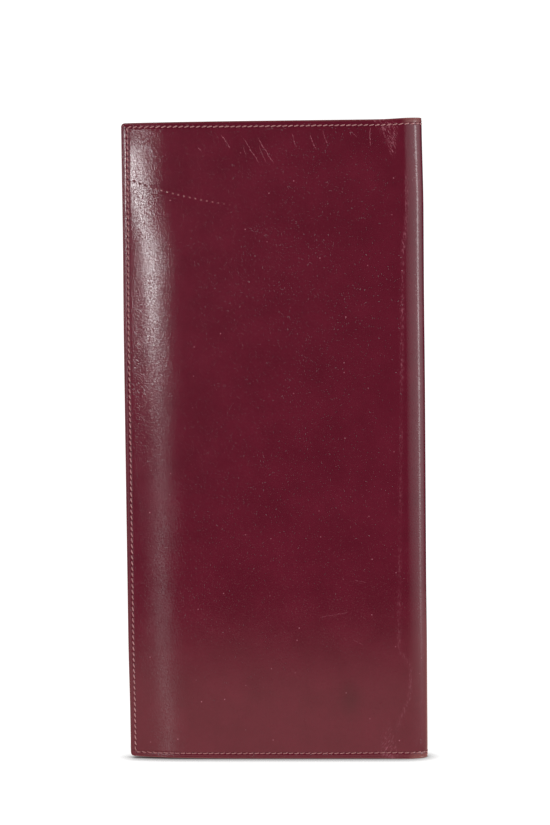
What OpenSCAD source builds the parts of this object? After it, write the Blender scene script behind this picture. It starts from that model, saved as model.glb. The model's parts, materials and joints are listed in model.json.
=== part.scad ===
// Slim bifold document case in leather, standing upright with its covers a little apart.
// Two stitched covers hinge on the two edges of a half-round spine. Each cover is a skin, a
// board and a lining, with a pocket stitched inside it over a thin welt.
//
// Frame: +Z up, +X towards the spine, the back cover on the -Y side, and the origin at the
// middle of the base. The case is symmetric about the XZ plane.
// Each cover is drawn in the closed case, where its outer face is parallel to the XZ plane and
// the spine's outermost face is at x = 0, and is then opened about its hinge's pivot.

/* [Case] */
// Height of the case
case_h = 305; // [280:1:340]
// Width of the closed case, from the free edges to the outermost face of the spine
case_w = 142; // [125:1:170]
// Thickness of the closed case over the spine
case_t = 12; // [11.4:0.2:16]
// Radius of the two outer corners of each cover
corner_r = 1.3; // [0.5:0.1:4]

/* [Leather and board] */
// Thickness of the outer leather
skin_t = 1.3; // [1:0.1:1.6]
// Thickness of the stiffening board
board_t = 1; // [0.8:0.1:1.2]
// Thickness of the lining leather
lining_t = 0.8; // [0.6:0.1:0.9]
// Width of the rim round each board, where the leathers meet
rim_w = 5; // [4:0.5:8]
// Setback of each board from the spine, which leaves the crease soft
board_setback = 6.4; // [4:0.2:10]

/* [Hinge] */
// Gap between a cover and the spine
hinge_gap = 0.8; // [0.7:0.1:1.2]
// Angle from closed to standing, on each side of the spine
stand_deg = 5; // [3:0.5:10]

/* [Free edge] */
// Width of the strip along the free edge that curls inwards
curl_w = 29; // [20:1:40]
// Angle that the strip turns through
curl_deg = 8; // [2:0.5:8]

/* [Pocket] */
// Thickness of the pocket leather
pocket_t = 1; // [0.8:0.1:1.1]
// Thickness of the welt, which is the room inside the empty pocket
welt_t = 1; // [0.8:0.1:1.1]
// Width of the welt's strips
welt_w = 5; // [4:0.5:8]
// Setback of the pocket from the spine
pocket_setback = 12; // [10:0.5:20]
// Depth of the mouth below the top edge, at the free edge
mouth_drop = 22.7; // [20:0.1:60]
// Further depth that the mouth falls to, towards the spine
mouth_fall = 22.8; // [0:0.1:40]
// Distance over which the mouth falls by about two thirds of that depth
mouth_run = 53.5; // [30:0.5:90]

/* [Stitching] */
// Distance of the stitch rows from the edges
stitch_inset = 2.7; // [2:0.1:3.5]
// Width of a row of thread
thread_w = 0.8; // [0.6:0.1:1.2]
// Height of the thread above the leather
thread_proud = 0.3; // [0.2:0.05:0.4]

/* [Hidden] */

burgundy = [0.36, 0.09, 0.15];
wine = [0.30, 0.08, 0.12];
greyboard = [0.55, 0.52, 0.48];
rose = [0.60, 0.40, 0.42];

arc_facets = 48;
curl_steps = 8;
mouth_steps = 24;
corner_steps = 8;
nudge = 1;

spine_r = case_t / 2;
curl_r = curl_w / (curl_deg * PI / 180);
curl_step = curl_w / curl_steps;
cover_len = case_w - spine_r - hinge_gap;

// Depths of the layers below a cover's outer face
board_d = skin_t;
lining_d = board_d + board_t;
welt_d = lining_d + lining_t;
pocket_d = welt_d + welt_t;
inside_d = pocket_d + pocket_t;

// Pivots on which the leather keeps its length from the closed spine to the case laid flat:
// each cover's outer face comes flush with the spine's outermost face, and as far from the
// middle of the spine as it is along the leather.
half_wrap = PI / 2 * spine_r;
pivot_y = half_wrap / 2;
pivot_x = pivot_y - spine_r;

// Where a cover's free edge comes to as the case stands, and the shift that centres the base
free_edge = cover_pt(0, 0);
standing_edge_x = pivot_x + (free_edge[0] - pivot_x) * cos(stand_deg)
    - (free_edge[1] + pivot_y) * sin(stand_deg);
centre_x = -standing_edge_x / 2;

// ---- Points and slabs that follow a cover ----

// Point at a depth below the outer face, at one of the curl's breakpoints
function curl_pt(depth, k) =
    let (turn = (curl_w - k * curl_step) / curl_r * 180 / PI)
    [curl_w - case_w - (curl_r - depth) * sin(turn),
     curl_r - spine_r - (curl_r - depth) * cos(turn)];

// Point at a depth below the outer face and a distance from the free edge
function cover_pt(depth, reach) =
    reach >= curl_w
    ? [reach - case_w, depth - spine_r]
    : let (k = floor(reach / curl_step), part = reach / curl_step - k)
      (1 - part) * curl_pt(depth, k) + part * curl_pt(depth, k + 1);

// The distances at which the outline of a layer turns, between its two ends
function turns(from, to) = concat([from],
    [for (k = [0 : curl_steps]) if (k * curl_step > from && k * curl_step < to) k * curl_step],
    [to]);

// A layer of a cover, between two depths, two distances from the free edge and two heights
module slab(depth_a, depth_b, from, to, low, high) {
    stops = turns(from, to);
    last = len(stops) - 1;
    translate([0, 0, low])
        linear_extrude(high - low)
            polygon(concat([for (s = stops) cover_pt(depth_a, s)],
                [for (i = [last : -1 : 0]) cover_pt(depth_b, stops[i])]));
}

// An outline of distances from the free edge and heights, cut right through a cover
module through_cover(outline) {
    rotate([90, 0, 0])
        linear_extrude(2 * case_w, center = true)
            polygon([for (p = outline) [cover_pt(inside_d, p[0])[0], p[1]]]);
}

// Everything inside the cover's edges, with its two outer corners rounded
module within_corners() {
    edge_x = free_edge[0];
    rotate([90, 0, 0])
        linear_extrude(2 * case_w, center = true)
            polygon(concat(
                [[nudge, 0], [nudge, case_h]],
                [for (k = [0 : corner_steps]) let (a = 90 + 90 * k / corner_steps)
                    [edge_x + corner_r * (1 + cos(a)), case_h - corner_r * (1 - sin(a))]],
                [for (k = [0 : corner_steps]) let (a = 180 + 90 * k / corner_steps)
                    [edge_x + corner_r * (1 + cos(a)), corner_r * (1 + sin(a))]]));
}

// Height of the pocket's mouth at a distance from the free edge
function mouth_z(reach) = case_h - mouth_drop - mouth_fall * (1 - exp(-reach / mouth_run));

pocket_len = cover_len - pocket_setback;
mouth_stops = [for (k = [0 : mouth_steps]) (pocket_len + nudge) * k / mouth_steps - nudge];

// The area below a line parallel to the pocket's mouth
module below_mouth(drop) {
    through_cover(concat([for (s = mouth_stops) [s, mouth_z(s) - drop]],
        [[pocket_len, -nudge], [-nudge, -nudge]]));
}

// The band between two lines parallel to the pocket's mouth
module mouth_band(upper_drop, lower_drop) {
    through_cover(concat([for (s = mouth_stops) [s, mouth_z(s) - upper_drop]],
        [for (k = [mouth_steps : -1 : 0]) [mouth_stops[k], mouth_z(mouth_stops[k]) - lower_drop]]));
}

// ---- One cover, drawn in the closed case on the -Y side ----

module cover_skin() {
    intersection() {
        difference() {
            slab(0, lining_d, 0, cover_len, 0, case_h);
            slab(board_d, lining_d + nudge, rim_w, cover_len - board_setback,
                rim_w, case_h - rim_w);
        }
        within_corners();
    }
}

module cover_board() {
    slab(board_d, lining_d, rim_w, cover_len - board_setback, rim_w, case_h - rim_w);
}

module cover_lining() {
    intersection() {
        slab(lining_d, welt_d, 0, cover_len, 0, case_h);
        within_corners();
    }
}

// The welt runs down the free edge, along the bottom and up the spine side of the pocket
module cover_welt() {
    intersection() {
        difference() {
            slab(welt_d, pocket_d, 0, pocket_len, 0, case_h);
            slab(welt_d - nudge, pocket_d + nudge, welt_w, pocket_len - welt_w,
                welt_w, case_h + nudge);
        }
        below_mouth(0);
        within_corners();
    }
}

module cover_pocket() {
    intersection() {
        slab(pocket_d, inside_d, 0, pocket_len, 0, case_h);
        below_mouth(0);
        within_corners();
    }
}

// Rows along the top, the free edge and the bottom, lying on the face at a depth
module edge_rows(depth_a, depth_b, low, high) {
    near = stitch_inset - thread_w / 2;
    far = stitch_inset + thread_w / 2;
    if (low < stitch_inset) slab(depth_a, depth_b, near, cover_len, near, far);
    if (high > case_h - stitch_inset)
        slab(depth_a, depth_b, near, cover_len, case_h - far, case_h - near);
    slab(depth_a, depth_b, near, far, max(low, near), min(high, case_h - near));
}

// The edge thread shows outside, and inside on the lining and then on the pocket
module cover_edge_thread() {
    edge_rows(-thread_proud, 0, 0, case_h);
    edge_rows(welt_d, welt_d + thread_proud, mouth_z(0) + thread_proud, case_h);
    slab(welt_d, welt_d + thread_proud, pocket_len + thread_proud, cover_len,
        stitch_inset - thread_w / 2, stitch_inset + thread_w / 2);
    intersection() {
        edge_rows(inside_d, inside_d + thread_proud, 0, mouth_z(0) - thread_w);
        below_mouth(thread_w);
    }
}

// The pocket's thread hems its mouth and closes its spine side
module cover_pocket_thread() {
    slab(inside_d, inside_d + thread_proud, pocket_len - stitch_inset - thread_w / 2,
        pocket_len - stitch_inset + thread_w / 2, stitch_inset + thread_w,
        mouth_z(pocket_len) - stitch_inset);
    intersection() {
        slab(inside_d, inside_d + thread_proud, stitch_inset + thread_w,
            pocket_len - stitch_inset, 0, case_h);
        mouth_band(stitch_inset - thread_w / 2, stitch_inset + thread_w / 2);
    }
}

// ---- The spine, drawn in the closed case ----

// A half-round layer of the spine between two depths and two heights
module spine_shell(depth_a, depth_b, low, high) {
    translate([-spine_r, 0, low])
        intersection() {
            difference() {
                cylinder(r = spine_r - depth_a, h = high - low, $fn = arc_facets);
                translate([0, 0, -nudge])
                    cylinder(r = spine_r - depth_b, h = high - low + 2 * nudge, $fn = arc_facets);
            }
            translate([0, -case_t, -nudge])
                cube([case_t, 2 * case_t, high - low + 2 * nudge]);
        }
}

module spine_rows(depth_a, depth_b) {
    for (middle = [stitch_inset, case_h - stitch_inset])
        spine_shell(depth_a, depth_b, middle - thread_w / 2, middle + thread_w / 2);
}

// ---- Places of the three bodies ----

// Opens what is drawn to where the back cover stands
module on_back() {
    translate([centre_x + pivot_x, -pivot_y, 0])
        rotate([0, 0, stand_deg])
            translate([-pivot_x, pivot_y, 0]) children();
}

module on_front() {
    mirror([0, 1, 0]) on_back() children();
}

module on_spine() {
    translate([centre_x, 0, 0]) children();
}

// ---- Nodes ----

module back_skin() { color(burgundy) on_back() cover_skin(); }
module back_board() { color(greyboard) on_back() cover_board(); }
module back_lining() { color(wine) on_back() cover_lining(); }
module back_welt() { color(burgundy) on_back() cover_welt(); }
module back_pocket() { color(wine) on_back() cover_pocket(); }
module back_edge_thread() { color(rose) on_back() cover_edge_thread(); }
module back_pocket_thread() { color(rose) on_back() cover_pocket_thread(); }

module spine_skin() {
    color(burgundy) on_spine() {
        spine_shell(0, board_d, 0, case_h);
        spine_shell(board_d, lining_d, 0, rim_w);
        spine_shell(board_d, lining_d, case_h - rim_w, case_h);
    }
}

module spine_stay() {
    color(greyboard) on_spine() spine_shell(board_d, lining_d, rim_w, case_h - rim_w);
}

module spine_lining() {
    color(wine) on_spine() spine_shell(lining_d, welt_d, 0, case_h);
}

module spine_thread() {
    color(rose) on_spine() {
        spine_rows(-thread_proud, 0);
        spine_rows(welt_d, welt_d + thread_proud);
    }
}

module front_skin() { color(burgundy) on_front() cover_skin(); }
module front_board() { color(greyboard) on_front() cover_board(); }
module front_lining() { color(wine) on_front() cover_lining(); }
module front_welt() { color(burgundy) on_front() cover_welt(); }
module front_pocket() { color(wine) on_front() cover_pocket(); }
module front_edge_thread() { color(rose) on_front() cover_edge_thread(); }
module front_pocket_thread() { color(rose) on_front() cover_pocket_thread(); }

back_skin();
back_board();
back_lining();
back_welt();
back_pocket();
back_edge_thread();
back_pocket_thread();
spine_skin();
spine_stay();
spine_lining();
spine_thread();
front_skin();
front_board();
front_lining();
front_welt();
front_pocket();
front_edge_thread();
front_pocket_thread();
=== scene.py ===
"""Looks of the upright leather document case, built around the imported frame.

Each cover is described in flat leather coordinates, in millimetres:
  s  along the outer face, from the free edge (0), over the cover and round to the middle of the spine
  z  height above the base
  d  depth below the outer face, towards the inside of the case
place() wraps such points into the standing case. The back cover is on the -Y side and the front
cover mirrors it. Skins and linings run over the hinge to the middle of the spine and blend.
"""
import json
import math

import bpy
import numpy as np
from mathutils import Matrix, Vector


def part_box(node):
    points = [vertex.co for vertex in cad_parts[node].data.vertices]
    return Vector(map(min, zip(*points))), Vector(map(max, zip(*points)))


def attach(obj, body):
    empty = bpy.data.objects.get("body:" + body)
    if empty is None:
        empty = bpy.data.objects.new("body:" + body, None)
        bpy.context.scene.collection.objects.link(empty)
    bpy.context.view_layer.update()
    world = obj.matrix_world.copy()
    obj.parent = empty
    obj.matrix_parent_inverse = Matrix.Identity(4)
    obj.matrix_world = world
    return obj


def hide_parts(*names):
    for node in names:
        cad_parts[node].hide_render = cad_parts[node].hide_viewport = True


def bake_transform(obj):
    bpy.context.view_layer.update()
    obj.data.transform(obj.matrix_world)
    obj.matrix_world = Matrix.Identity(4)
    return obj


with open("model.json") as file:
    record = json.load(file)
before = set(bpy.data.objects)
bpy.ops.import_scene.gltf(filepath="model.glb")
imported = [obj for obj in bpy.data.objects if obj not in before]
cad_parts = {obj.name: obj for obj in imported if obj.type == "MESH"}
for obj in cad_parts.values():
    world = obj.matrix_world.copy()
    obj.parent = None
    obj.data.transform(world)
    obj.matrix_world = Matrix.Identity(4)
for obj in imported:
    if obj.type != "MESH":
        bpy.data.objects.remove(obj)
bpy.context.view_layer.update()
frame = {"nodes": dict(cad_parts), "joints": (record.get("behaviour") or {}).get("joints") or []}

# ---------------------------------------------------------------- sizes, in millimetres
MM = 0.001
CASE_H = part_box("spine_skin")[1].z / MM
SPINE_R = (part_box("spine_skin")[1].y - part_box("spine_skin")[0].y) / 2 / MM
SPINE_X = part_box("spine_skin")[1].x / MM
HINGE = {j["name"]: Vector(j["pos_m"]) / MM for j in frame["joints"]}
PIVOT_X = HINGE["back_crease"].x - SPINE_X
PIVOT_Y = abs(HINGE["back_crease"].y)
CASE_W = 142.0
STAND = math.radians(5)  # each cover stands this far open
ARC_START = CASE_W - SPINE_R
WRAP_END = ARC_START + SPINE_R * math.pi / 2
CREASE_S = 131.0  # middle of the hinge's valley, just past the board

# Layers, by depth
SKIN_T = 1.3
BOARD_D = 1.75
BOARD_IN = 2.25
LINING_D = 2.3
LINING_IN = 3.1
POCKET_D = 4.1
POCKET_IN = 5.1

# The free edge curls inwards over a strip, which is narrower near the top
CURL_W = 29.5
CURL_NARROWS = 6.0
CURL_R = 207.0
CURL_FOOT = 0.25

CORNER_R = 1.8
CORNER_REACH = 12.0  # how far in from the edge a round corner bends the grid
STITCH_PITCH = 2.75
COVER_STITCH_END = 125.5  # a cover's own stitches end here, and the spine's follow
SPINE_STITCH_END = WRAP_END - 0.1
POCKET_END = 123.2
POCKET_SEAM = 2.7  # the pocket's own stitches, below its mouth and inside its spine end
RIM_W = 5.0  # round the board the leathers meet
BOARD_EDGE = RIM_W + 1.5
BOARD_END = 128.5

# The hinge: the leather turns from its cover to the spine between two places in x from the
# spine's outermost face, and starts to round a little further out
BLEND_FROM, BLEND_TO = -9.0, -0.1
ROUND_FROM = 10.0

# Mouth of the pocket: depth below the top edge, and how far and how soon it falls to the spine
MOUTH_DROP = 22.7
MOUTH_Z = CASE_H - MOUTH_DROP
MOUTH_FALL = 22.8
MOUTH_RUN = 53.5

BACK, FRONT = -1, 1
BODY = {BACK: "back_cover", FRONT: "front_cover"}
SIDE = {BACK: "back", FRONT: "front"}


# ---------------------------------------------------------------- leather coordinates
def smooth(a, b, x):
    """0 before a, 1 after b, and smooth between."""
    t = np.clip((x - a) / (b - a), 0, 1)
    return t * t * (3 - 2 * t)


def lattice_noise(x, y, seed):
    """Smooth noise from -1 to 1 with features about 1 wide."""
    size = 256
    table = np.random.default_rng(seed).uniform(-1, 1, (size, size))
    xi, yi = np.floor(x).astype(int), np.floor(y).astype(int)
    xf, yf = x - xi, y - yi
    xf, yf = xf * xf * (3 - 2 * xf), yf * yf * (3 - 2 * yf)
    xi, yi, xn, yn = xi % size, yi % size, (xi + 1) % size, (yi + 1) % size
    a, b = table[xi, yi], table[xn, yi]
    c, e = table[xi, yn], table[xn, yn]
    return (a * (1 - xf) + b * xf) * (1 - yf) + (c * (1 - xf) + e * xf) * yf


def mouth_z(s):
    """Height of the pocket's mouth."""
    return CASE_H - MOUTH_DROP - MOUTH_FALL * (1 - np.exp(-s / MOUTH_RUN))


def hinge_share(x):
    """How far a point at x in the closed case follows the spine and not its cover."""
    return smooth(BLEND_FROM, BLEND_TO, x)


def settle(s, z):
    """Small shifts of the worn case, in x and z: it is a little wider low down, and the outer
    corners of its covers are drawn in."""
    low = 1 - smooth(20, 60, z)
    outer = np.clip(1 - s / 60, 0, 1) ** 2
    over_cover = 1 - smooth(120, 138, s)
    shift_x = 0.3 * outer * low - 0.4 * (1 - smooth(200, 270, z)) * (1 - smooth(0, 100, s))
    spine_side = 0.85 - 0.2 * smooth(50, 90, z) - 0.2 * smooth(170, 230, z) - 0.65 * smooth(262, 305, z)
    shift_x += spine_side * smooth(110, 142, s)
    top_dip = (0.35 * outer + 0.2 * over_cover - 0.45 * smooth(122, 140, s)) * smooth(240, CASE_H, z)
    lift = (0.85 * outer + 0.2 * over_cover) * (1 - smooth(0, 60, z))
    return shift_x, lift - top_dip


def place(side, s, z, d):
    """Points of the leather in the row frame, in metres."""
    s, z, d = np.broadcast_arrays(np.asarray(s, float), np.asarray(z, float), np.asarray(d, float))
    shift_x, shift_z = settle(s, z)
    # The strip along the free edge curls, a little more tightly at the foot
    curl_w = CURL_W - CURL_NARROWS * smooth(235, 278, z)
    curl_r = CURL_R / (1 + CURL_FOOT * (1 - smooth(0, 60, z)))
    turn = np.clip(curl_w - s, 0, None) / curl_r
    x = np.maximum(s, curl_w) - CASE_W - (curl_r - d) * np.sin(turn)
    y = curl_r - SPINE_R - (curl_r - d) * np.cos(turn)
    # From the crease on the leather rounds into the spine, whose middle is a quarter round
    arc = np.clip((s - ARC_START) / SPINE_R, 0, None)
    on_arc = s > ARC_START
    x = np.where(on_arc, -SPINE_R + (SPINE_R - d) * np.sin(arc), x)
    y = np.where(on_arc, -(SPINE_R - d) * np.cos(arc), y)
    span = np.clip((x + ROUND_FROM) / ROUND_FROM, 0, 1)
    full = np.sqrt(1 - np.clip((x + SPINE_R) / SPINE_R, 0, 1) ** 2)
    tiny = 1e-6
    y = y * np.where(full > tiny, np.sqrt(1 - span**2) / np.maximum(full, tiny), 1)
    x = x + shift_x
    # Open the cover about its hinge
    open_by = STAND * (1 - hinge_share(x))
    dx, dy = x - PIVOT_X, y + PIVOT_Y
    row_x = SPINE_X + PIVOT_X + dx * np.cos(open_by) - dy * np.sin(open_by)
    row_y = -PIVOT_Y + dx * np.sin(open_by) + dy * np.cos(open_by)
    return np.stack([row_x, -side * row_y, z + shift_z], -1) * MM


def edge_distance(s, z):
    """Distance inside the cover's outline, whose two outer corners are round."""
    zz = np.minimum(z, CASE_H - z)
    near = (s < CORNER_R) & (zz < CORNER_R)
    return np.where(near, CORNER_R - np.hypot(CORNER_R - s, CORNER_R - zz), np.minimum(s, zz))


def pull_in(s, past):
    """Draws s in from the free edge, at a height so far past the start of an outer corner."""
    inset = CORNER_R - np.sqrt(CORNER_R**2 - past**2)
    return s + inset * np.clip(1 - s / CORNER_REACH, 0, 1)


def round_corner(s, z):
    """Draws the columns next to the free edge in round the two outer corners."""
    return pull_in(s, np.clip(CORNER_R - np.minimum(z, CASE_H - z), 0, CORNER_R))


# ---------------------------------------------------------------- mesh building
def new_object(name, vertices, faces):
    """A smooth-shaded mesh object in the scene."""
    mesh = bpy.data.meshes.new(name)
    mesh.from_pydata([tuple(v) for v in vertices], [], faces)
    mesh.validate()
    mesh.shade_smooth()
    obj = bpy.data.objects.new(name, mesh)
    bpy.context.scene.collection.objects.link(obj)
    return obj


def along_both(side, s):
    """Distance from the back cover's free edge, over the spine and on over the front cover."""
    return s if side == BACK else 2 * WRAP_END - s


def add_leather_position(obj, side, s, z, d, masks=None):
    """Keeps each point's leather coordinates on the mesh, so that materials follow every pose."""
    points = np.stack(np.broadcast_arrays(along_both(side, s), z, d), -1).astype(np.float32)
    a = obj.data.attributes.new("leather", "FLOAT_VECTOR", "POINT")
    a.data.foreach_set("vector", points.ravel())
    for name, values in (masks or {}).items():
        mask = obj.data.attributes.new(name, "FLOAT", "POINT")
        mask.data.foreach_set("value", np.asarray(values, np.float32))


def stops(*stretches):
    """Grid lines from (start, end, step) stretches that follow on from each other."""
    lines = []
    for start, end, step in stretches:
        count = max(1, round((end - start) / step))
        lines += list(np.linspace(start, end, count, endpoint=False))
    return np.array(lines + [stretches[-1][1]])


def quads(ids, flip):
    """Faces of a grid of point numbers."""
    a, b, c, e = ids[:-1, :-1], ids[1:, :-1], ids[1:, 1:], ids[:-1, 1:]
    order = (a, e, c, b) if flip else (a, b, c, e)
    return np.stack(order, -1).reshape(-1, 4).tolist()


def wall(fine_line, coarse_line, keep, turn):
    """Faces between an edge of a fine grid and the same edge of a coarse one, whose points keep gives."""
    faces = []
    for k in range(len(keep) - 1):
        run = list(fine_line[keep[k] : keep[k + 1] + 1])
        face = [int(v) for v in run + [coarse_line[k + 1], coarse_line[k]]]
        faces.append(face if turn else face[::-1])
    return faces


def give_rim_slot(mesh, plain):
    """The faces after the first plain ones get the second material, and flat shading."""
    rim = np.arange(len(mesh.polygons)) >= plain
    mesh.polygons.foreach_set("material_index", rim.astype(np.int32))
    mesh.polygons.foreach_set("use_smooth", ~rim)


def panel(name, side, columns, rows, seen, hidden, coarse, warp=None, masks=None, edge_slot=True):
    """A closed panel with a finely gridded face that shows and a coarse face that does not.

    seen and hidden give the depth of each face from (s, z). warp moves the grid in its plane.
    With edge_slot, the rim between the two faces gets the panel's second material.
    """
    s, z = np.meshgrid(columns, rows, indexing="ij")
    if warp:
        s, z = warp(s, z)
    n, m = s.shape
    keep_i = sorted(set(range(0, n, coarse)) | {n - 1})
    keep_j = sorted(set(range(0, m, coarse)) | {m - 1})
    hs, hz = s[np.ix_(keep_i, keep_j)], z[np.ix_(keep_i, keep_j)]
    all_s = np.concatenate([s.ravel(), hs.ravel()])
    all_z = np.concatenate([z.ravel(), hz.ravel()])
    all_d = np.concatenate([seen(s, z).ravel(), hidden(hs, hz).ravel()])
    seen_id = np.arange(n * m).reshape(n, m)
    hidden_id = n * m + np.arange(hs.size).reshape(hs.shape)
    # The faces turn the other way on the front cover, and where the inner face is the one seen
    inwards = float(np.mean(seen(s, z))) > float(np.mean(hidden(hs, hz)))
    turned = (side == FRONT) != inwards
    faces = quads(seen_id, turned) + quads(hidden_id, not turned)
    plain = len(faces)
    faces += wall(seen_id[0, :], hidden_id[0, :], keep_j, turned)
    faces += wall(seen_id[-1, :], hidden_id[-1, :], keep_j, not turned)
    faces += wall(seen_id[:, 0], hidden_id[:, 0], keep_i, not turned)
    faces += wall(seen_id[:, -1], hidden_id[:, -1], keep_i, turned)
    obj = new_object(name, place(side, all_s, all_z, all_d), faces)
    add_leather_position(obj, side, all_s, all_z, all_d, masks(all_s, all_z) if masks else None)
    if edge_slot:
        give_rim_slot(obj.data, plain)
    return obj


def at_depth(depth):
    """The same depth all over a face."""
    return lambda s, z: np.full_like(s, depth)


def join(parts, name):
    """Joins the parts into one named piece."""
    bpy.ops.object.select_all(action="DESELECT")
    for part in parts:
        part.select_set(True)
    bpy.context.view_layer.objects.active = parts[0]
    bpy.ops.object.join()
    parts[0].name = name
    parts[0].data.name = name
    return parts[0]


# ---------------------------------------------------------------- rows of stitches
def stitch_total(start, end):
    """How many stitches fit between two ends."""
    return round((end - start) / STITCH_PITCH)


def side_inset(z):
    """Distance of the stitch column from the free edge."""
    return 2.65 + 0.4 * smooth(225, 290, z)


def top_inset(s):
    """Distance of the top row below the top edge."""
    return 2.0 + 0.6 * smooth(0, 60, s) + 0.2 * smooth(95, 140, s)


def bottom_inset(s):
    """Distance of the bottom row above the bottom edge."""
    return 2.3 + 0.3 * smooth(0, 70, s) + 0.4 * smooth(95, 135, s)


def inside_rows(s, z):
    """Signed distance from the rows' outline, more than 0 inside it."""
    ends = np.minimum(CASE_H - z - top_inset(s), z - bottom_inset(s))
    return np.minimum(s - side_inset(z), ends)


# The hem row of the pocket, from the free edge to the pocket's spine side, by distance walked
HEM_S = np.linspace(0, POCKET_END, 1200)
HEM_Z = mouth_z(HEM_S) - POCKET_SEAM
HEM_WALK = np.concatenate([[0], np.cumsum(np.hypot(np.diff(HEM_S), np.diff(HEM_Z)))])
HEM_START, HEM_STOP = 3.9, HEM_WALK[-1] - 3.5


def hem_rows():
    """Places of the hem's stitches, with their headings."""
    walked = np.arange(HEM_START, HEM_STOP, STITCH_PITCH)
    s = np.interp(walked, HEM_WALK, HEM_S)
    slope = -MOUTH_FALL / MOUTH_RUN * np.exp(-s / MOUTH_RUN)
    return s, np.interp(s, HEM_S, HEM_Z), np.arctan(slope)


# ---------------------------------------------------------------- relief of the outer leather
def bump(x, centre, width):
    """A smooth bump, 1 at the centre."""
    return np.exp(-(((x - centre) / width) ** 2))


def crease_line(z):
    """Distance from the free edge at which the leather wrinkles, beside the spine."""
    drift = 128.3 + 0.0176 * z + 1.5 * smooth(240, 262, z)
    return drift + 5.5 * (1 - smooth(44, 54, z)) - 6 * (1 - smooth(12, 34, z))


def hem_dots(s, z, along, across):
    """The pocket's hem stitches show through as dots, until the board hides them."""
    walked = np.interp(s, HEM_S, HEM_WALK) - HEM_START
    phase = (walked + STITCH_PITCH / 2) % STITCH_PITCH - STITCH_PITCH / 2
    off_row = z - np.interp(s, HEM_S, HEM_Z)
    seen = (1 - smooth(40, 56, s)) * smooth(2.9, 3.4, s)
    return bump(phase, 0, along) * bump(off_row, 0, across) * seen


def skin_depth(side):
    """Depth of the outer face: edges, stitch channel, the pocket's ghost seam, wrinkles and waves."""
    def depth(s, z):
        e = edge_distance(s, z)
        shoulder = 0.6 * (1 - np.sqrt(1 - np.clip(1 - e / 0.75, 0, 1) ** 2))
        r = inside_rows(s, z)
        # A line tooled along the edge, the channel of the stitches and the pressed margin
        tooled = 0.17 * bump(e, 0.95, 0.22) - 0.02 * bump(e, 1.5, 0.28)
        channel = 0.2 * bump(r, 0, 0.45)
        margin = 0.03 * (1 - smooth(-0.4, 1.5, r))
        # Broad, middling and small waves, between the rows and the spine
        u = along_both(side, s)
        waves = 0.09 * lattice_noise(u / 46 + 3, z / 80 + 5, 11)
        waves += 0.03 * lattice_noise(u / 15, z / 24, 12)
        waves += 0.010 * lattice_noise(u / 4.5, z / 7, 13)
        waves = waves * smooth(0, 6, r) * (1 - smooth(ARC_START - 10, ARC_START, s))
        # The ghost seam's stitches are raised, more so next to the edge
        dots = (0.09 - 0.035 * smooth(11, 16, s)) * hem_dots(s, z, 0.34, 0.32)
        # Fine wrinkles and broader folds along the crease, in the hinge's shallow valley
        near = bump(s, crease_line(z), 1.2)
        fine = lattice_noise(u / 0.62, z / 6.0 + 0.2 * u, 22)
        folds = lattice_noise(u / 1.3 + 9, z / 22.0, 23)
        tall = smooth(2, 10, np.minimum(z, CASE_H - z))
        wrinkles = near * (0.03 * fine + 0.04 * folds) * tall + 0.05 * bump(s, CREASE_S, 3.0)
        return shoulder + tooled + channel + margin + waves - dots + wrinkles
    return depth


def stitch_count(s, z):
    """Place along the nearest row of stitches, in stitches, and distance across it."""
    across = np.stack([s - side_inset(z), CASE_H - z - top_inset(s), z - bottom_inset(s)])
    low, high = float(bottom_inset(0)), CASE_H - float(top_inset(0))
    start = float(side_inset(0))
    up = (z - low) / (high - low) * stitch_total(low, high)
    on = np.clip((s - start) / (COVER_STITCH_END - start), 0, 1) * stitch_total(start, COVER_STITCH_END)
    left = SPINE_STITCH_END - COVER_STITCH_END
    on += np.clip((s - COVER_STITCH_END) / left, 0, 1) * stitch_total(COVER_STITCH_END, SPINE_STITCH_END)
    nearest = np.argmin(np.abs(across), axis=0)
    return np.where(nearest == 0, up, on), np.take_along_axis(across, nearest[None], 0)[0]


def skin_masks(s, z):
    """How strongly each kind of mark shows at a point of the outer leather."""
    e = edge_distance(s, z)
    to_end = np.minimum(z, CASE_H - z)
    # Handling has rubbed the edges and the ends of the spine
    rubbed = 0.45 * (1 - smooth(0.1, 1.0, e)) + smooth(132, 137, s) * (1 - smooth(0.8, 3.2, to_end))
    # Creases fan out from the ends of the spine's wrinkle line
    top = np.clip((CASE_H - z) / 19.5, 0, 1)
    middle = 126.4 + 2.8 * top - 5 * (1 - smooth(0, 0.12, top))
    top_fan = 1 - smooth(0.5, 1.0, np.abs(s - middle) / (0.4 + 5.4 * (1 - top) ** 0.8))
    foot = np.clip((z - 3) / 16, 0, 1)
    foot_fan = 0.6 * (1 - smooth(0.5, 1.0, np.abs(s - 124.0) / (0.4 + 5.0 * (1 - foot) ** 0.7)))
    fans = np.where(z > CASE_H / 2, top_fan * (1 - smooth(0.75, 1, top)), foot_fan * (1 - foot))
    # A light streak along the wrinkle line: crease wear with a painted glint
    streak = bump(s, crease_line(z), 0.8) * smooth(20, 34, CASE_H - z) * smooth(8, 18, z)
    streak = streak * (0.4 + 0.15 * (1 - smooth(50, 80, z)) + 0.6 * smooth(150, 230, z))
    # A soft darker patch low on the cover
    smudge = bump(s, 106.5, 4) * bump(z, 28.5, 7)
    crumple = (1 - smooth(9, 17, s)) * smooth(289, 299, z) * smooth(3.2, 5, s)
    count, across = stitch_count(s, z)
    # How strongly painted shade darkens each needle hole
    pierced = 0.3 + (0.25 + 0.45 * smooth(120, 260, z)) * (np.abs(s - side_inset(z)) < 1.2)
    # The ghost seam's stitches get painted shade as dark dents near the free edge, and further in light
    # dots of rubbed leather with a painted glint
    dents = hem_dots(s, z, 0.42, 0.4) * (1 - smooth(11, 15, s))
    dots = hem_dots(s, z, 0.31, 0.29) * smooth(12, 17, s)
    return {"wear": np.clip(rubbed, 0, 1), "fans": fans, "streak": streak, "smudge": smudge,
            "crumple": crumple, "dents": dents, "dots": dots, "stitch": count,
            "off_row": across, "pierced": pierced}


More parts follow.
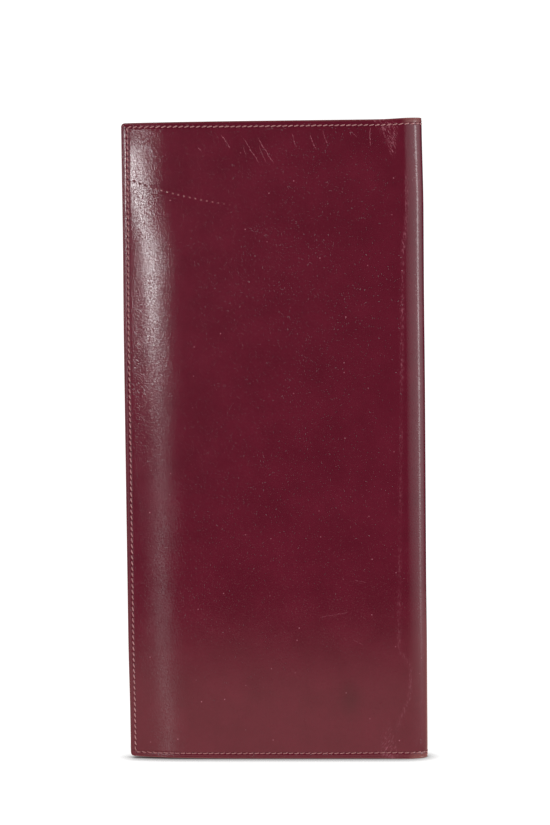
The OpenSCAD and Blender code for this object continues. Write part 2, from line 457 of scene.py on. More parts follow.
def skin_hidden(s, z):
    """Behind the outer leather is the board, and round it the leathers meet."""
    e = edge_distance(s, z)
    return np.where(e < RIM_W - 0.5, LINING_D, SKIN_T)


SEAM_ROW = 280.0  # height of the grid's rows that follow the ghost seam, before they are bent
SEAM_SIDE = 1.4  # half the height of that band of fine rows
FINE_EDGE = 3.6  # the grid is fine along the edges


def follow_seam(s, z):
    """Bends the grid's rows so that the fine ones run along the ghost seam as far as it shows."""
    seam_end, straight_again = 60, 100
    at_edge = float(np.interp(0, HEM_S, HEM_Z))
    shift = np.interp(np.minimum(s, seam_end), HEM_S, HEM_Z) - at_edge
    shift = shift * (1 - smooth(seam_end + 2, straight_again, s))
    near = smooth(SEAM_ROW - 66, SEAM_ROW - 3, z) * (1 - smooth(SEAM_ROW + 3, CASE_H - 4, z))
    return round_corner(s, z), z + (shift + at_edge - SEAM_ROW) * near


SKIN_COLUMNS = stops((0, 4.6, 0.14), (4.6, 56, 0.27), (56, 124, 2.0), (124, 136, 0.3),
                     (136, SPINE_STITCH_END, 0.4), (SPINE_STITCH_END, WRAP_END, 0.1))
SKIN_ROWS = stops((0, FINE_EDGE, 0.14), (FINE_EDGE, 230, 2.0), (230, SEAM_ROW - SEAM_SIDE, 1.2),
                  (SEAM_ROW - SEAM_SIDE, SEAM_ROW + SEAM_SIDE, 0.2),
                  (SEAM_ROW + SEAM_SIDE, CASE_H - FINE_EDGE, 1.0), (CASE_H - FINE_EDGE, CASE_H, 0.14))


def over_hinge(obj, side):
    """Bakes the piece's placement into its mesh, alike for either cover."""
    if side == BACK:
        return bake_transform(obj)
    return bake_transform(obj)


def make_skin(side):
    obj = panel(f"{SIDE[side]}_outer_leather", side, SKIN_COLUMNS, SKIN_ROWS, skin_depth(side),
                skin_hidden, coarse=5, warp=follow_seam, masks=skin_masks)
    over_hinge(obj, side)
    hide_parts(f"{SIDE[side]}_skin", "spine_skin")
    return obj


# ---------------------------------------------------------------- inside
def make_board(side):
    rows = stops((BOARD_EDGE, CASE_H - BOARD_EDGE, 6))
    columns = stops((BOARD_EDGE, CURL_W, 2), (CURL_W, BOARD_END, 8))
    obj = panel(f"{SIDE[side]}_stiffener", side, columns, rows, at_depth(BOARD_D),
                at_depth(BOARD_IN), coarse=1, edge_slot=False)
    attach(obj, BODY[side])
    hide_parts(f"{SIDE[side]}_board")
    return obj


def lining_depth(s, z):
    """The lining's inner face, with a stitch channel and a soft valley at the hinge."""
    e = edge_distance(s, z)
    channel = 0.12 * bump(inside_rows(s, z), 0, 0.5)
    shoulder = 0.25 * (1 - smooth(0, 0.7, e))
    wrinkles = bump(s, CREASE_S + 1, 3.0) * 0.10 * np.abs(lattice_noise(s / 1.6, z / 18, 31))
    waves = 0.05 * lattice_noise(s / 26, z / 34, 32) * smooth(4, 14, e)
    return LINING_IN - channel - shoulder - wrinkles + waves


def make_lining(side):
    columns = stops((0, 4, 0.4), (4, 120, 2.0), (120, ARC_START, 0.8), (ARC_START, WRAP_END, 0.6))
    rows = stops((0, 4, 0.4), (4, CASE_H - 4, 2.0), (CASE_H - 4, CASE_H, 0.4))
    obj = panel(f"{SIDE[side]}_inner_lining", side, columns, rows, lining_depth,
                at_depth(LINING_D), coarse=3, warp=lambda s, z: (round_corner(s, z), z))
    over_hinge(obj, side)
    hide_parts(f"{SIDE[side]}_lining", "spine_lining")
    return obj


def below_mouth(low, high_drop=0.0):
    """Maps rows from 0 to 1 between a height and the pocket's mouth, and rounds the foot's corner."""
    rough_height = 200  # turns a row's share into millimetres, near enough for the corner

    def warp(s, t):
        s = pull_in(s, np.clip(CORNER_R - t * rough_height, 0, CORNER_R))
        return s, low + t * (mouth_z(s) - high_drop - low)
    return warp


def pocket_depth(s, z):
    """The pocket's face: a rolled hem, stitch channels and a little fullness between its seams."""
    to_mouth = mouth_z(s) - z
    to_side = np.minimum(s, POCKET_END - s)
    seam = np.minimum(np.minimum(s, z), POCKET_END - s)
    hem = 0.45 * (1 - smooth(0, 0.9, to_mouth)) - 0.25 * (1 - smooth(3.4, 5.2, to_mouth))
    sewn = np.minimum(np.minimum(s - side_inset(z), z - bottom_inset(s)), POCKET_END - POCKET_SEAM - s)
    channel = 0.16 * bump(to_mouth, POCKET_SEAM, 0.5) + 0.16 * bump(sewn, 0, 0.5)
    shoulder = 0.35 * (1 - smooth(0, 0.8, seam))
    fullness = 0.8 * smooth(4, 45, to_side) * smooth(3, 60, z)
    waves = 0.12 * lattice_noise(s / 30 + 7, z / 45, 41) * smooth(4, 14, seam)
    return POCKET_IN - hem - channel - shoulder + fullness + waves


def pocket_hidden(s, z):
    """Where the pocket is full, its hidden face comes away from the lining with it."""
    return POCKET_D + np.clip(pocket_depth(s, z) - POCKET_IN, 0, None)


def make_pocket(side):
    columns = stops((0, 4, 0.4), (4, POCKET_END - 4, 1.6), (POCKET_END - 4, POCKET_END, 0.4))
    rows = stops((0, 4, 0.4), (4, MOUTH_Z - 6, 2.0), (MOUTH_Z - 6, MOUTH_Z, 0.35)) / MOUTH_Z
    obj = panel(f"{SIDE[side]}_inner_pocket", side, columns, rows, pocket_depth, pocket_hidden,
                coarse=1, warp=below_mouth(0.0))
    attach(obj, BODY[side])
    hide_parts(f"{SIDE[side]}_pocket")
    return obj


def make_welt(side):
    """Three strips between lining and pocket, joined into one piece."""
    width, inset, step = 4.6, 0.15, 0.6
    upright = stops((0, 4, 0.4), (4, MOUTH_Z, 3)) / MOUTH_Z
    to_mouth = below_mouth(inset, 2 * inset)
    shapes = (
        (stops((inset, width, step)), upright, to_mouth),
        (stops((width, POCKET_END - width, 3)), stops((inset, width, step)), None),
        (stops((POCKET_END - width, POCKET_END - inset, step)), upright, to_mouth),
    )
    strips = [panel("welt_strip", side, columns, rows, at_depth(POCKET_D), at_depth(LINING_IN),
                    coarse=1, warp=warp) for columns, rows, warp in shapes]
    obj = join(strips, f"{SIDE[side]}_pocket_welt")
    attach(obj, BODY[side])
    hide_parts(f"{SIDE[side]}_welt")
    return obj


def make_stay():
    """A narrow stiffening strip inside the roll of the spine."""
    reach = SPINE_R * math.radians(38)
    gap = 0.1  # to the leather on either side
    columns = stops((-reach, reach, 0.5))
    rows = stops((BOARD_EDGE, CASE_H - BOARD_EDGE, 8))
    grid_a, grid_z = np.meshgrid(columns / SPINE_R, rows, indexing="ij")
    n, m = grid_a.shape
    points = []
    for depth in (SKIN_T + gap, LINING_D - gap):
        r = SPINE_R - depth
        points.append(np.stack([(SPINE_X - SPINE_R + r * np.cos(grid_a)) * MM,
                                r * np.sin(grid_a) * MM, grid_z * MM], -1).reshape(-1, 3))
    ids = np.arange(2 * n * m).reshape(2, n, m)
    faces = quads(ids[0], False) + quads(ids[1], True)
    rims = ((ids[:, 0, :], True), (ids[:, -1, :], False), (ids[:, :, 0], False), (ids[:, :, -1], True))
    for line, turn in rims:
        quad = np.stack((line[0, :-1], line[0, 1:], line[1, 1:], line[1, :-1]), -1)
        faces += (quad[:, ::-1] if turn else quad).tolist()
    obj = new_object("spine_stay_strip", np.concatenate(points), faces)
    add_leather_position(obj, BACK, np.concatenate([grid_a.ravel() * SPINE_R] * 2),
                         np.concatenate([grid_z.ravel()] * 2), np.zeros(2 * n * m))
    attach(obj, "spine")
    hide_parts("spine_stay")
    return obj


# ---------------------------------------------------------------- stitches
THREAD_R = 0.3
STITCH_LEN = 2.6
STITCH_SINK = 0.3  # its ends go down into the needle holes
STITCH_ARCH = 0.56  # rise of its middle above its ends
STITCH_FLAT = 0.85  # height of its section against its width
SLANT_VARIES = 0.2
LENGTH_VARIES = 0.06
PLY_TWIST = 5.5
PLY_SWELL = 0.13
RINGS, SIDES = 9, 8


def tube_faces(base):
    """Faces of one stitch whose points start at base, with closed ends."""
    faces = []
    for ring in range(base, base + (RINGS - 1) * SIDES, SIDES):
        for j in range(SIDES):
            n = (j + 1) % SIDES
            faces.append([ring + j, ring + n, ring + SIDES + n, ring + SIDES + j])
    faces.append([base + j for j in range(SIDES)][::-1])
    faces.append([base + (RINGS - 1) * SIDES + j for j in range(SIDES)])
    return faces


def stitches(name, side, rows, surface, outside=True):
    """Saddle stitches at (s, z, heading, slant), on a face whose depth surface(s, z) gives."""
    t = np.linspace(0, 1, RINGS)
    along = (t - 0.5) * STITCH_LEN
    height = -STITCH_SINK + STITCH_ARCH * np.sin(np.pi * t) ** 0.6
    radius = THREAD_R * (0.6 + 0.4 * np.sin(np.pi * t) ** 0.5)
    phi = np.linspace(0, 2 * np.pi, SIDES, endpoint=False)
    ply = 1 + PLY_SWELL * np.cos(2 * (phi[None, :] + t[:, None] * PLY_TWIST))
    across = radius[:, None] * np.cos(phi)[None, :] * ply
    up = STITCH_FLAT * radius[:, None] * np.sin(phi)[None, :] * ply + height[:, None]
    out = -1 if outside else 1
    all_s, all_z, all_d, faces = [], [], [], []
    rng = np.random.default_rng(7 if outside else 8)
    for k, (s0, z0, heading, slant) in enumerate(rows):
        slant = slant * (1 + SLANT_VARIES * rng.uniform(-1, 1))
        length = 1 + LENGTH_VARIES * rng.uniform(-1, 1)
        a = heading + slant * (1 if outside else -1)
        ux, uz = math.cos(a), math.sin(a)
        s = s0 + along[:, None] * ux * length - across * uz
        z = z0 + along[:, None] * uz * length + across * ux
        rest = float(surface(np.array([s0]), np.array([z0]))[0])
        all_s.append(s.ravel())
        all_z.append(z.ravel())
        all_d.append((rest + out * up).ravel())
        faces += tube_faces(k * RINGS * SIDES)
    s, z, d = (np.concatenate(v) for v in (all_s, all_z, all_d))
    obj = new_object(name, place(side, s, z, d), faces)
    add_leather_position(obj, side, s, z, d)
    return obj


def row_places(start, end):
    """Middles of the stitches between two ends."""
    count = stitch_total(start, end)
    pitch = (end - start) / count
    return [start + (k + 0.5) * pitch for k in range(count)]


def top_and_bottom(start, end):
    """Stitches of the top and bottom rows, whose slants change away from the free edge."""
    rows = []
    for s in row_places(start, end):
        top_slant = math.radians(27 - 14 * float(smooth(0, 50, s)))
        bottom_slant = math.radians(-14 + 24 * float(smooth(5, 40, s)))
        rows.append((s, CASE_H - float(top_inset(s)), 0, top_slant))
        rows.append((s, float(bottom_inset(s)), 0, bottom_slant))
    return rows


def cover_rows():
    """A cover's stitches: the column beside the free edge, then the top and bottom rows."""
    low, high = float(bottom_inset(0)), CASE_H - float(top_inset(0))
    rows = [(float(side_inset(z)), z, math.pi / 2, math.radians(17)) for z in row_places(low, high)]
    return rows + top_and_bottom(float(side_inset(0)), COVER_STITCH_END)


def inside_face(s, z):
    """Depth of what the inside stitches lie on: the pocket, or the lining above its mouth."""
    on_pocket = (z < mouth_z(s) - 1.0) & (s < POCKET_END - 0.5)
    return np.where(on_pocket, pocket_depth(s, z), lining_depth(s, z))


def sewn_through(name, side, rows, inside):
    """The same rows on the outer face and on the inside, as one piece."""
    outer = stitches("outer_rows", side, rows, skin_depth(side))
    inner = stitches("inner_rows", side, rows, inside, outside=False)
    return join([outer, inner], name)


def make_edge_stitches(side):
    obj = sewn_through(f"{SIDE[side]}_edge_stitches", side, cover_rows(), inside_face)
    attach(obj, BODY[side])
    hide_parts(f"{SIDE[side]}_edge_thread")
    return obj


def make_spine_stitches(side):
    """The top and bottom rows run on over the hinge, to the middle of the spine."""
    rows = top_and_bottom(COVER_STITCH_END, SPINE_STITCH_END)
    obj = sewn_through(f"{SIDE[side]}_spine_stitches", side, rows, lining_depth)
    over_hinge(obj, side)
    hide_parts("spine_thread")
    return obj


def make_pocket_stitches(side):
    """The pocket's hem, and its seam beside the spine."""
    slant = math.radians(14)
    seam_s = POCKET_END - POCKET_SEAM
    foot, top = 2 * POCKET_SEAM, float(mouth_z(seam_s)) - POCKET_SEAM
    rows = [(seam_s, z, math.pi / 2, slant) for z in row_places(foot, top)]
    rows += [(float(s), float(z), float(h), slant) for s, z, h in zip(*hem_rows())]
    obj = stitches(f"{SIDE[side]}_pocket_stitches", side, rows, pocket_depth, outside=False)
    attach(obj, BODY[side])
    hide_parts(f"{SIDE[side]}_pocket_thread")
    return obj


# ---------------------------------------------------------------- materials
class Nodes:
    """Short calls for building one material's nodes."""

    def __init__(self, name):
        self.material = bpy.data.materials.new(name)
        self.material.use_nodes = True
        self.tree = self.material.node_tree
        self.shader = self.tree.nodes["Principled BSDF"]

    def add(self, kind, inputs=None, **settings):
        node = self.tree.nodes.new(kind)
        for key, value in settings.items():
            setattr(node, key, value)
        for key, value in (inputs or {}).items():
            self.put(node, key, value)
        return node

    def put(self, node, key, value):
        if isinstance(value, bpy.types.NodeSocket):
            self.tree.links.new(value, node.inputs[key])
        else:
            node.inputs[key].default_value = value

    def mapped(self, vector, **settings):
        return self.add("ShaderNodeMapping", {"Vector": vector, **settings}).outputs[0]

    def leather(self, scale=(1, 1, 1)):
        """Leather coordinates in millimetres, times a scale."""
        where = self.add("ShaderNodeAttribute", attribute_name="leather").outputs["Vector"]
        return self.mapped(where, Scale=scale)

    def combed(self, lean, across, along):
        """Leather coordinates whose features run at a lean from upright, foot towards the spine."""
        turned = self.mapped(self.leather(), Rotation=(0, 0, -math.radians(lean)))
        return self.mapped(turned, Scale=(across, along, 0))

    def split(self, vector):
        """The three parts of a vector or colour."""
        return list(self.add("ShaderNodeSeparateXYZ", {"Vector": vector}).outputs)

    def mask(self, name):
        """One of the marks that skin_masks gives."""
        return self.add("ShaderNodeAttribute", attribute_name=name).outputs["Fac"]

    def dot(self, vector, direction):
        node = self.add("ShaderNodeVectorMath", {0: vector, 1: direction}, operation="DOT_PRODUCT")
        return node.outputs["Value"]

    def noise(self, vector, scale=1.0, detail=3.0, rough=0.55):
        return self.add("ShaderNodeTexNoise", {"Vector": vector, "Scale": scale, "Detail": detail,
                                               "Roughness": rough}).outputs["Fac"]

    def cells(self, vector, scale, feature="F1"):
        node = self.add("ShaderNodeTexVoronoi", {"Vector": vector, "Scale": scale}, feature=feature)
        return node.outputs["Distance"]

    def ramp(self, value, low, high, out_low=0.0, out_high=1.0):
        return self.add("ShaderNodeMapRange", {"Value": value, "From Min": low, "From Max": high,
                                               "To Min": out_low, "To Max": out_high}).outputs[0]

    def math(self, operation, a, b=0.0):
        return self.add("ShaderNodeMath", {0: a, 1: b}, operation=operation).outputs[0]

    def plus(self, a, b):
        return self.math("ADD", a, b)

    def minus(self, a, b):
        return self.math("SUBTRACT", a, b)

    def times(self, a, b):
        return self.math("MULTIPLY", a, b)

    def most(self, a, b):
        return self.math("MAXIMUM", a, b)

    def size(self, a):
        return self.math("ABSOLUTE", a)

    def between(self, factor, a, b):
        """A mix of two plain numbers, whose sockets are 2 and 3."""
        return self.add("ShaderNodeMix", {0: factor, 2: a, 3: b}).outputs[0]

    def mix(self, factor, a, b, blend="MIX"):
        """A mix of two colours, whose sockets are 6 and 7."""
        node = self.add("ShaderNodeMix", data_type="RGBA", blend_type=blend)
        self.put(node, 0, factor)
        self.put(node, 6, a)
        self.put(node, 7, b)
        return node.outputs[2]

    def bump(self, height, strength, distance):
        """Normals from a height, where 1 stands for a distance in millimetres."""
        return self.add("ShaderNodeBump", {"Height": height, "Strength": strength,
                                           "Distance": distance * MM}).outputs[0]


def srgb(r, g, b):
    """Linear colour from an 8-bit one."""
    def linear(v):
        v /= 255
        return v / 12.92 if v <= 0.04045 else ((v + 0.055) / 1.055) ** 2.4
    return (linear(r), linear(g), linear(b), 1)


def dyed(m, spot):
    """The dye lies in soft clouds and a fine mottle."""
    cloud = m.noise(spot, 0.045, 4, 0.6)
    colour = m.mix(m.ramp(cloud, 0.35, 0.68), srgb(91, 9, 33), srgb(101, 17, 40))
    mottle = m.noise(spot, 0.6, 3, 0.6)
    return m.mix(m.ramp(mottle, 0.3, 0.7, 0.0, 0.3), colour, srgb(84, 8, 29))


def grain_height(m, spot):
    """Small cells with fine pits, and a crumple in the upper free corner."""
    cells = m.ramp(m.cells(spot, 0.85, "DISTANCE_TO_EDGE"), 0.0, 0.12)
    pits = m.ramp(m.cells(spot, 1.0), 0.06, 0.26)
    fine = m.noise(spot, 1.25, 2, 0.5)
    grain = m.plus(m.plus(m.times(cells, 0.12), m.times(pits, 0.6)), m.times(fine, 0.35))
    crumple = m.times(m.noise(spot, 0.75, 3, 0.6), m.mask("crumple"))
    return m.plus(grain, m.times(crumple, 2.6))


def outer_leather_material():
    m = Nodes("burgundy_box_calf")
    spot = m.leather()
    # Lighter where it is worn, scuffed or scratched, with painted glints on the crease streak and the
    # seam's dots; darker in a soft patch, with painted shade in the needle holes and the seam's dents
    worn = m.times(m.mask("wear"), m.ramp(m.noise(spot, 1.3, 4, 0.7), 0.3, 0.6, 0.3, 1.0))
    marks = m.most(m.most(scratches(m, spot), specks(m, spot)), creases(m, spot))
    hole_shade = painted_hole_shade(m)
    colour = m.mix(m.times(worn, 0.75), dyed(m, spot), srgb(146, 92, 86))
    # Darker in a soft patch low on the cover
    colour = m.mix(m.times(m.mask("smudge"), 0.5), colour, srgb(70, 10, 24))
    # The crease streak among the marks carries a painted glint on its wrinkles
    colour = m.mix(marks, colour, srgb(176, 108, 122))
    # The ghost seam's light dots are rubbed leather with a painted glint
    colour = m.mix(m.times(m.mask("dots"), 0.7), colour, srgb(196, 128, 134))
    # Painted shade in the needle holes and the ghost seam's dents
    colour = m.mix(m.times(hole_shade, 0.85), colour, srgb(40, 8, 16))
    m.put(m.shader, "Base Color", colour)
    grain = m.bump(grain_height(m, spot), 1.0, 0.05)
    m.put(m.shader, "Normal", grain)
    m.put(m.shader, "Coat Normal", grain)
    m.put(m.shader, "Roughness", 0.34)
    m.put(m.shader, "Specular IOR Level", 0.06)
    dull = m.most(m.most(marks, hole_shade), m.times(worn, 0.7))
    m.put(m.shader, "Coat Weight", m.ramp(dull, 0.0, 1.0, 0.9, 0.1))
    m.put(m.shader, "Coat Roughness", 0.085)
    m.put(m.shader, "Coat IOR", 1.45)
    return m.material


# Scratches on the cover that the photograph shows: middle from the free edge and below the top
# edge, length, lean in degrees from upright with the foot towards the spine, and strength
SCRATCHES = (
    (49.8, 9.7, 8.1, 30, 0.8),
    (58.6, 14.0, 5.0, 25, 0.5),
    (61.8, 14.0, 14.6, 32, 0.8),
    (68.6, 14.2, 14.8, 31, 0.8),
    (67.0, 15.5, 9.0, 20, 0.4),
    (82.2, 9.5, 7.0, 18, 0.7),
    (91.0, 10.3, 7.6, 22, 0.8),
    (96.7, 7.9, 7.0, 17, 0.6),
    (110.0, 6.7, 5.2, 44, 0.35),
    (118.0, 8.0, 9.0, 2, 0.8),
    (18.0, 9.0, 8.0, 36, 0.3),
    (37.6, 13.0, 2.2, 35, 0.9),
    (99.0, 235.2, 14.8, 102, 0.4),
    (110.2, 248.6, 5.7, 56, 0.35),
    (111.5, 219.2, 5.9, 75, 0.35),
)
WAVER = 2.0  # most that the noise shifts a scratch; its middle value shifts all by half of this


def scratches(m, spot):
    """Hairline scratches, each a thin wavering line that breaks off here and there."""
    waver = m.add("ShaderNodeTexNoise", {"Vector": spot, "Scale": 0.25, "Detail": 4.0, "Roughness": 0.65})
    shift = m.mix(1.0, waver.outputs["Color"], (WAVER, WAVER, WAVER, 1), "MULTIPLY")
    bent = m.mix(1.0, spot, shift, "ADD")
    total = 0.0
    for s, below_top, length, lean, strength in SCRATCHES:
        a = math.radians(lean)
        s, z = s + WAVER / 2, CASE_H - below_top + WAVER / 2
        aside = m.dot(bent, (math.cos(a), math.sin(a), 0))
        aside = m.size(m.minus(aside, s * math.cos(a) + z * math.sin(a)))
        along = m.dot(bent, (math.sin(a), -math.cos(a), 0))
        along = m.size(m.minus(along, s * math.sin(a) - z * math.cos(a)))
        line = m.times(m.ramp(aside, 0.06, 0.22, strength, 0.0),
                       m.ramp(along, length * 0.35, length * 0.5, 1.0, 0.0))
        total = m.most(total, line)
    broken = m.ramp(m.noise(spot, 1.7, 3, 0.7), 0.44, 0.57, 0.12, 1.0)
    return m.times(total, broken)


def creases(m, spot):
    """Fine light creases: fans at the ends of the spine, and a broken streak beside it that is crease
    wear with a painted glint on its wrinkles.
    """
    high = m.ramp(m.noise(m.combed(28, 1.9, 0.35), 1.0, 4, 0.7), 0.50, 0.60)
    low = m.ramp(m.noise(m.combed(-32, 1.9, 0.35), 1.0, 4, 0.7), 0.50, 0.60)
    upper = m.ramp(m.split(spot)[1], CASE_H * 0.4, CASE_H * 0.6)
    strands = m.between(upper, low, high)
    lines = m.times(m.times(strands, 0.8), m.mask("fans"))
    broken = m.ramp(m.noise(spot, 0.9, 3, 0.7), 0.38, 0.56)
    dashes = m.ramp(m.noise(m.leather((1.6, 0.5, 0.0)), 1.0, 3, 0.65), 0.50, 0.62)
    stretch = m.ramp(m.noise(m.leather((0.0, 0.05, 0.0)), 1.0, 2, 0.5), 0.35, 0.6, 0.15, 0.6)
    dashes = m.plus(m.times(dashes, 0.9), 0.08)
    streak = m.times(m.times(dashes, stretch), m.mask("streak"))
    return m.most(m.times(lines, broken), streak)


def painted_hole_shade(m):
    """Painted shade: a dark hole at the inner end of every stitch, and the dark dents of the ghost seam.
    """
    hole_share, hole_in = 0.07, 0.42  # its place past a stitch's start, in stitches, and off the row
    step = m.plus(m.mask("stitch"), 0.5 - hole_share)
    along = m.times(m.minus(m.math("FRACT", step), 0.5), STITCH_PITCH)
    across = m.minus(m.mask("off_row"), hole_in)
    squares = m.plus(m.times(along, along), m.times(across, across))
    hole_shade = m.times(m.ramp(m.math("SQRT", squares), 0.2, 0.42, 1.0, 0.0), m.mask("pierced"))
    return m.most(hole_shade, m.ramp(m.mask("dents"), 0.2, 0.8))


def specks(m, spot):
    """Tiny light nicks here and there."""
    node = m.add("ShaderNodeTexVoronoi", {"Vector": spot, "Scale": 0.085, "Randomness": 1.0},
                 voronoi_dimensions="2D")
    dot = m.ramp(node.outputs["Distance"], 0.012, 0.032, 1.0, 0.0)
    kept = m.ramp(m.split(node.outputs["Color"])[0], 0.72, 1.0, 0.0, 1.0)
    return m.times(dot, kept)


def edge_paint_material():
    m = Nodes("edge_paint")
    spot = m.leather()
    blot = m.noise(spot, 0.8, 4, 0.6)
    m.put(m.shader, "Base Color", m.mix(m.ramp(blot, 0.3, 0.7), srgb(52, 20, 26), srgb(78, 32, 40)))
    m.put(m.shader, "Roughness", m.ramp(blot, 0.3, 0.7, 0.34, 0.5))
    m.put(m.shader, "Normal", m.bump(m.noise(spot, 2.5, 4, 0.6), 0.4, 0.08))
    return m.material


def lining_material():
    m = Nodes("wine_lining_calf")
    spot = m.leather()
    cloud = m.noise(spot, 0.06, 4, 0.6)
    colour = m.mix(m.ramp(cloud, 0.3, 0.7), srgb(74, 18, 30), srgb(92, 27, 40))
    m.put(m.shader, "Base Color", colour)
    fine = m.times(m.noise(spot, 3.0, 4, 0.6), 0.6)
    height = m.plus(m.cells(spot, 1.5, "SMOOTH_F1"), fine)
    m.put(m.shader, "Normal", m.bump(height, 0.5, 0.09))
    m.put(m.shader, "Roughness", m.ramp(m.noise(spot, 0.4, 3, 0.6), 0.3, 0.7, 0.5, 0.66))
    m.put(m.shader, "Specular IOR Level", 0.35)
    return m.material


def thread_material():
    m = Nodes("waxed_linen_thread")
    spot = m.leather()
    blot = m.noise(spot, 0.5, 3, 0.6)
    colour = m.mix(m.ramp(blot, 0.3, 0.7), srgb(152, 86, 92), srgb(182, 120, 122))
    # Painted shade darkens the thread near the foot
    foot_shade = m.ramp(m.split(spot)[1], 3.5, 6.0, 0.5, 0.0)
    colour = m.mix(foot_shade, colour, srgb(128, 48, 52))
    m.put(m.shader, "Base Color", colour)
    m.put(m.shader, "Normal", m.bump(m.noise(spot, 7.0, 2, 0.5), 0.5, 0.08))
    m.put(m.shader, "Roughness", 0.34)
    m.put(m.shader, "Coat Weight", 0.7)
    m.put(m.shader, "Coat Roughness", 0.22)
    m.put(m.shader, "Specular IOR Level", 0.6)
    m.put(m.shader, "Sheen Weight", 0.2)
    return m.material


def board_material():
    m = Nodes("grey_board")
    spot = m.leather()
    fibre = m.noise(m.leather((1.5, 0.4, 1.5)), 1.0, 5, 0.7)
    colour = m.mix(m.ramp(fibre, 0.3, 0.7), srgb(128, 120, 110), srgb(152, 144, 133))
    m.put(m.shader, "Base Color", colour)
    m.put(m.shader, "Normal", m.bump(m.noise(spot, 2.0, 5, 0.7), 0.4, 0.1))
    m.put(m.shader, "Roughness", 0.9)
    return m.material


LEATHER, EDGE = outer_leather_material(), edge_paint_material()
LINING, THREAD, BOARD = lining_material(), thread_material(), board_material()


def dress(obj, *materials):
    """Gives an object these materials, in its slots' order."""
    obj.data.materials.clear()
    for m in materials:
        obj.data.materials.append(m)


# ---------------------------------------------------------------- build both covers and the spine
for side in (BACK, FRONT):
    dress(make_skin(side), LEATHER, EDGE)
    dress(make_board(side), BOARD)
    dress(make_lining(side), LINING, EDGE)
    dress(make_pocket(side), LINING, EDGE)
    dress(make_welt(side), EDGE, EDGE)
    dress(make_edge_stitches(side), THREAD)
    dress(make_spine_stitches(side), THREAD)
    dress(make_pocket_stitches(side), THREAD)
dress(make_stay(), BOARD)
# The CAD's own solids are all replaced by these pieces, and get a fitting material too
for node in frame["nodes"].values():
    dress(node, BOARD if node.name.endswith(("board", "stay")) else LEATHER)


# ---------------------------------------------------------------- floor, light and camera
def flat_sheet(name, half_width, half_depth):
    """A flat rectangle round the origin, facing +Z."""
    w, h = half_width, half_depth
    return new_object(name, [(-w, -h, 0), (w, -h, 0), (w, h, 0), (-w, h, 0)], [(0, 1, 2, 3)])


def make_floor():
    reach = 30  # metres, so that its edges are never seen
    floor = flat_sheet("floor", reach, reach)
    m = Nodes("white_floor")
    m.put(m.shader, "Base Color", (0.2, 0.2, 0.2, 1))
    m.put(m.shader, "Roughness", 0.9)
    m.put(m.shader, "Specular IOR Level", 0.0)
    # The white surface glows, and a painted contact shadow darkens it only where something stands close
    # to it
    contact_reach, glow = 0.009, 0.95
    near = m.add("ShaderNodeAmbientOcclusion", {"Distance": contact_reach}, samples=8).outputs["AO"]
    m.put(m.shader, "Emission Color", (1, 1, 1, 1))
    m.put(m.shader, "Emission Strength", m.times(m.math("POWER", near, 2.0), glow))
    dress(floor, m.material)
    floor.visible_glossy = False
    floor.visible_diffuse = False


def make_world():
    """White behind the case, dim grey in its reflections and an even fill on it."""
    world = bpy.data.worlds.new("studio")
    bpy.context.scene.world = world
    world.use_nodes = True
    tree = world.node_tree
    tree.nodes.clear()
    path = tree.nodes.new("ShaderNodeLightPath")

    def background(colour, strength):
        node = tree.nodes.new("ShaderNodeBackground")
        node.inputs["Color"].default_value = colour
        node.inputs["Strength"].default_value = strength
        return node.outputs[0]

    def choose(ray, otherwise, chosen):
        node = tree.nodes.new("ShaderNodeMixShader")
        tree.links.new(path.outputs[ray], node.inputs[0])
        tree.links.new(otherwise, node.inputs[1])
        tree.links.new(chosen, node.inputs[2])
        return node.outputs[0]

    seen = background((1, 1, 1, 1), 1.1)
    fill = background((1, 0.98, 0.97, 1), 1.0)
    mirror = background((1, 1, 1, 1), 0.05)
    light = choose("Is Camera Ray", choose("Is Glossy Ray", fill, mirror), seen)
    out = tree.nodes.new("ShaderNodeOutputWorld")
    tree.links.new(light, out.inputs[0])


def card(name, at, target, width, height, strength, soft=(0.2, 0.2), tint=(1, 1, 1)):
    """A glowing card facing a target, which fades towards its sides over a share of its size."""
    w, h = width / 2, height / 2
    obj = flat_sheet(name, w, h)
    m = Nodes(name)
    m.tree.nodes.remove(m.shader)
    x, y, _ = m.split(m.add("ShaderNodeTexCoord").outputs["Object"])
    least = 1e-4  # a fade of no width at all is no ramp
    fade_x = m.ramp(m.size(x), w, w * (1 - soft[0]) - least)
    fade_y = m.ramp(m.size(y), h, h * (1 - soft[1]) - least)
    fade = m.times(fade_x, fade_y)
    glow = m.add("ShaderNodeEmission", {"Color": (*tint, 1), "Strength": m.times(fade, strength)})
    # A card never hides what is behind it
    clear = m.add("ShaderNodeBsdfTransparent")
    both = m.add("ShaderNodeAddShader", {0: glow.outputs[0], 1: clear.outputs[0]})
    m.put(m.tree.nodes["Material Output"], "Surface", both.outputs[0])
    dress(obj, m.material)
    away = (Vector(at) - Vector(target)).normalized()
    obj.location = at
    obj.rotation_euler = away.to_track_quat("Z", "Y").to_euler()
    obj.visible_camera = False
    obj.visible_shadow = False
    obj.visible_diffuse = False


def around(azimuth, distance, height, centre=(0, 0)):
    """A place at an azimuth round a point. Azimuth 0 is in front of the back cover."""
    a = math.radians(azimuth)
    return (centre[0] + math.sin(a) * distance, centre[1] - math.cos(a) * distance, height)


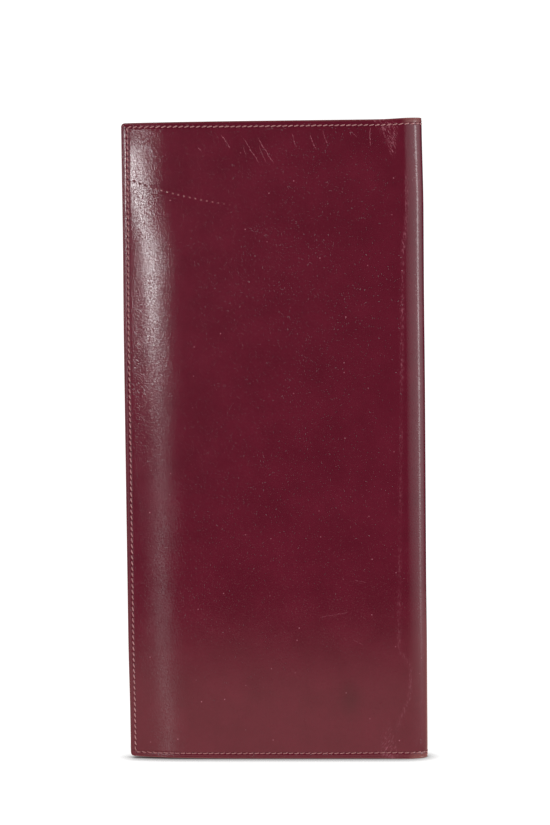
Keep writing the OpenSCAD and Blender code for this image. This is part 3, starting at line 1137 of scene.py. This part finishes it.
def make_lights():
    """Soft cards round the case, in metres. The key cards make the highlight along the curled
    free edge, and the ones on the right light the spine."""
    edge = (-0.06, -0.012, 0.25)
    card("key_left", around(-9.3, 1.6, 0.25, edge), edge, 0.09, 0.30, 25, (0.7, 0.4))
    card("key_mid", around(-9.3, 1.6, 0.18, edge), edge, 0.08, 0.13, 14, (0.7, 0.8))
    card("key_top", around(-10.2, 1.6, 0.33, edge), edge, 0.14, 0.12, 30, (0.8, 0.6))
    card("key_low", around(-7.4, 1.6, -0.08, edge), edge, 0.14, 1.00, 3.6, (0.9, 1.0))
    card("side_left", around(-57, 1.5, 0.45, edge), edge, 2.7, 1.6, 3.5, (1.0, 0.9))
    spine = (0.065, 0, 0.2)
    card("side_right", around(69, 1.5, 0.9, spine), (*spine[:2], 0.9), 3.4, 2.4, 2.4, (1.0, 0.2))
    card("strip_right", around(65, 1.5, 0.3, spine), spine, 0.26, 1.0, 10, (0.9, 0.6))
    # The warm glow of the table in the lower part of the covers
    card("table_top", (0, 0, -0.002), (0, 0, 1), 1.4, 0.94, 1.2, (0.3, 0.6), (1, 0.66, 0.56))
    card("overhead", (0.2, 0.3, 1.9), (0, 0, 0.15), 1.6, 1.6, 1.2, (0.3, 0.3))
    card("behind", around(190, 2.2, 1.2), (0, 0, 0.15), 1.6, 1.2, 2.5, (0.3, 0.3))


CAMERA_AZIMUTH = math.radians(7.8)
CAMERA_PITCH = math.radians(4.22)
CAMERA_ROLL = math.radians(-0.61)
CAMERA_DISTANCE = 1.2
CAMERA_AIM = (-0.00097, 0.01343)  # metres across and up from the middle of the case
CAMERA_FOCAL = 3.0279  # in picture heights
CAMERA_SENSOR = 36  # millimetres, and any size gives the same picture


def make_camera():
    data = bpy.data.cameras.new("camera")
    data.sensor_width = CAMERA_SENSOR
    data.lens = CAMERA_FOCAL * CAMERA_SENSOR
    cam = bpy.data.objects.new("camera", data)
    bpy.context.scene.collection.objects.link(cam)
    a, p, r = CAMERA_AZIMUTH, CAMERA_PITCH, CAMERA_ROLL
    back = Vector((math.sin(a) * math.cos(p), -math.cos(a) * math.cos(p), math.sin(p)))
    across = Vector((math.cos(a), math.sin(a), 0))
    up = back.cross(across)
    right = across * math.cos(r) + up * math.sin(r)
    top = up * math.cos(r) - across * math.sin(r)
    aim = Vector((0, 0, CASE_H * MM / 2)) + right * CAMERA_AIM[0] + top * CAMERA_AIM[1]
    turn = Matrix((right, top, back)).transposed()
    cam.matrix_world = Matrix.Translation(aim + back * CAMERA_DISTANCE) @ turn.to_4x4()
    bpy.context.scene.camera = cam


make_floor()
make_world()
make_lights()
make_camera()
bpy.context.scene.view_settings.view_transform = "Standard"
